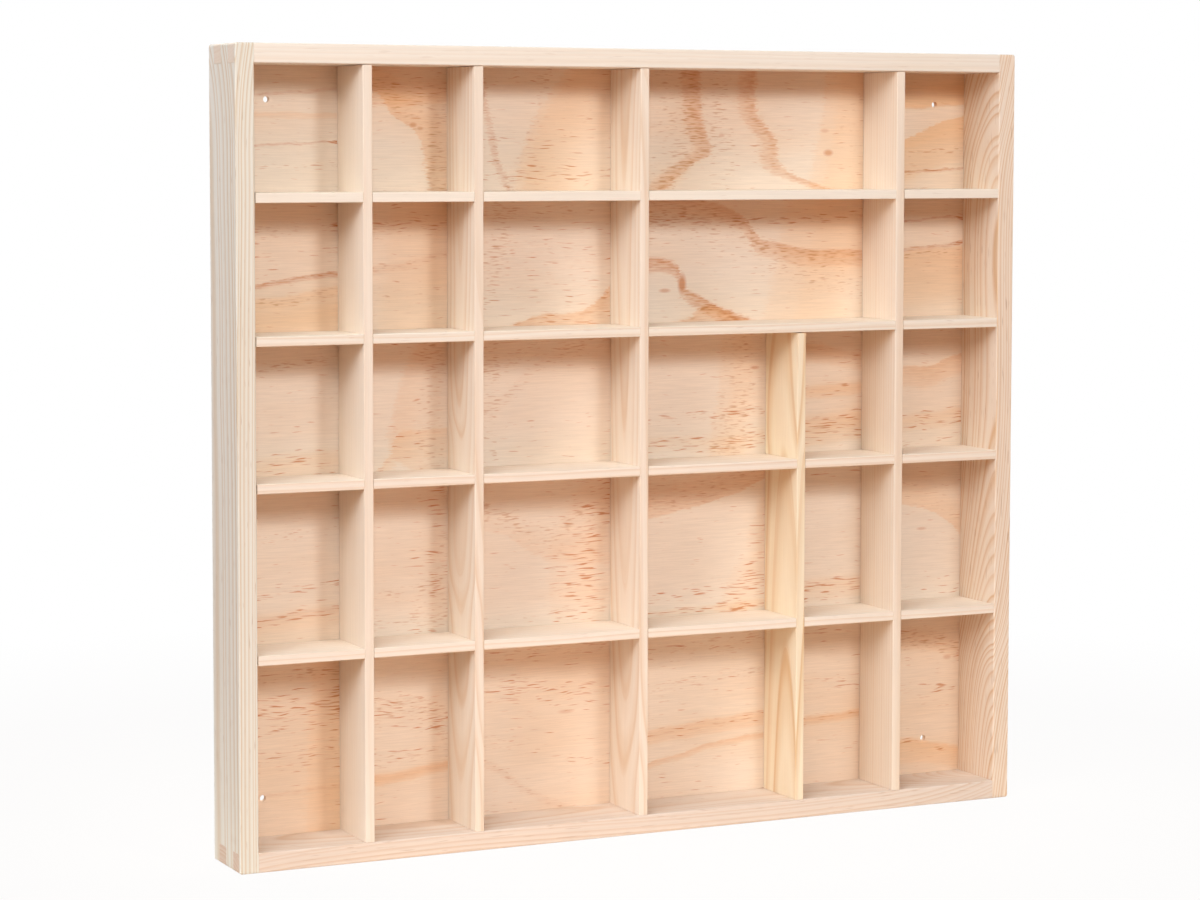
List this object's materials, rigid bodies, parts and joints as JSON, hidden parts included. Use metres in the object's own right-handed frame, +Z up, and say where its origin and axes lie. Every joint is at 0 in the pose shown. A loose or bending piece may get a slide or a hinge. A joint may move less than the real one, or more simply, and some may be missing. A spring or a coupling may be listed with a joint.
{
  "type": "letterpress tray shelf",
  "caption": "Shallow finger-jointed pine wall tray with a thin back panel and an egg-crate grid of halved slats that makes small open display compartments of different sizes.",
  "frame": {"origin": "centre of the footprint, on the surface that the case stands on", "axes": "+X to the right as seen from the front, +Y towards the wall behind the back panel, +Z up; the open front faces -Y"},
  "size_m": [0.41, 0.036, 0.375],
  "materials": {
    "pine_frame": "clear, unfinished, fine sanded",
    "pine_slats": "clear, unfinished, fine sanded",
    "pine_plywood": "rotary-cut pine veneer, unfinished",
    "steel_pins": "bright wire"
  },
  "bodies": {
    "root": {"left_side": "pine_frame", "right_side": "pine_frame", "top_rail": "pine_frame", "bottom_rail": "pine_frame", "back_panel": "pine_plywood", "panel_pins": "steel_pins", "shelf_1": "pine_slats", "shelf_2": "pine_slats", "shelf_3": "pine_slats", "shelf_4": "pine_slats", "divider_1": "pine_slats", "divider_2": "pine_slats", "divider_3": "pine_slats", "divider_4_short": "pine_slats", "divider_5": "pine_slats"}
  },
  "joints": []
}
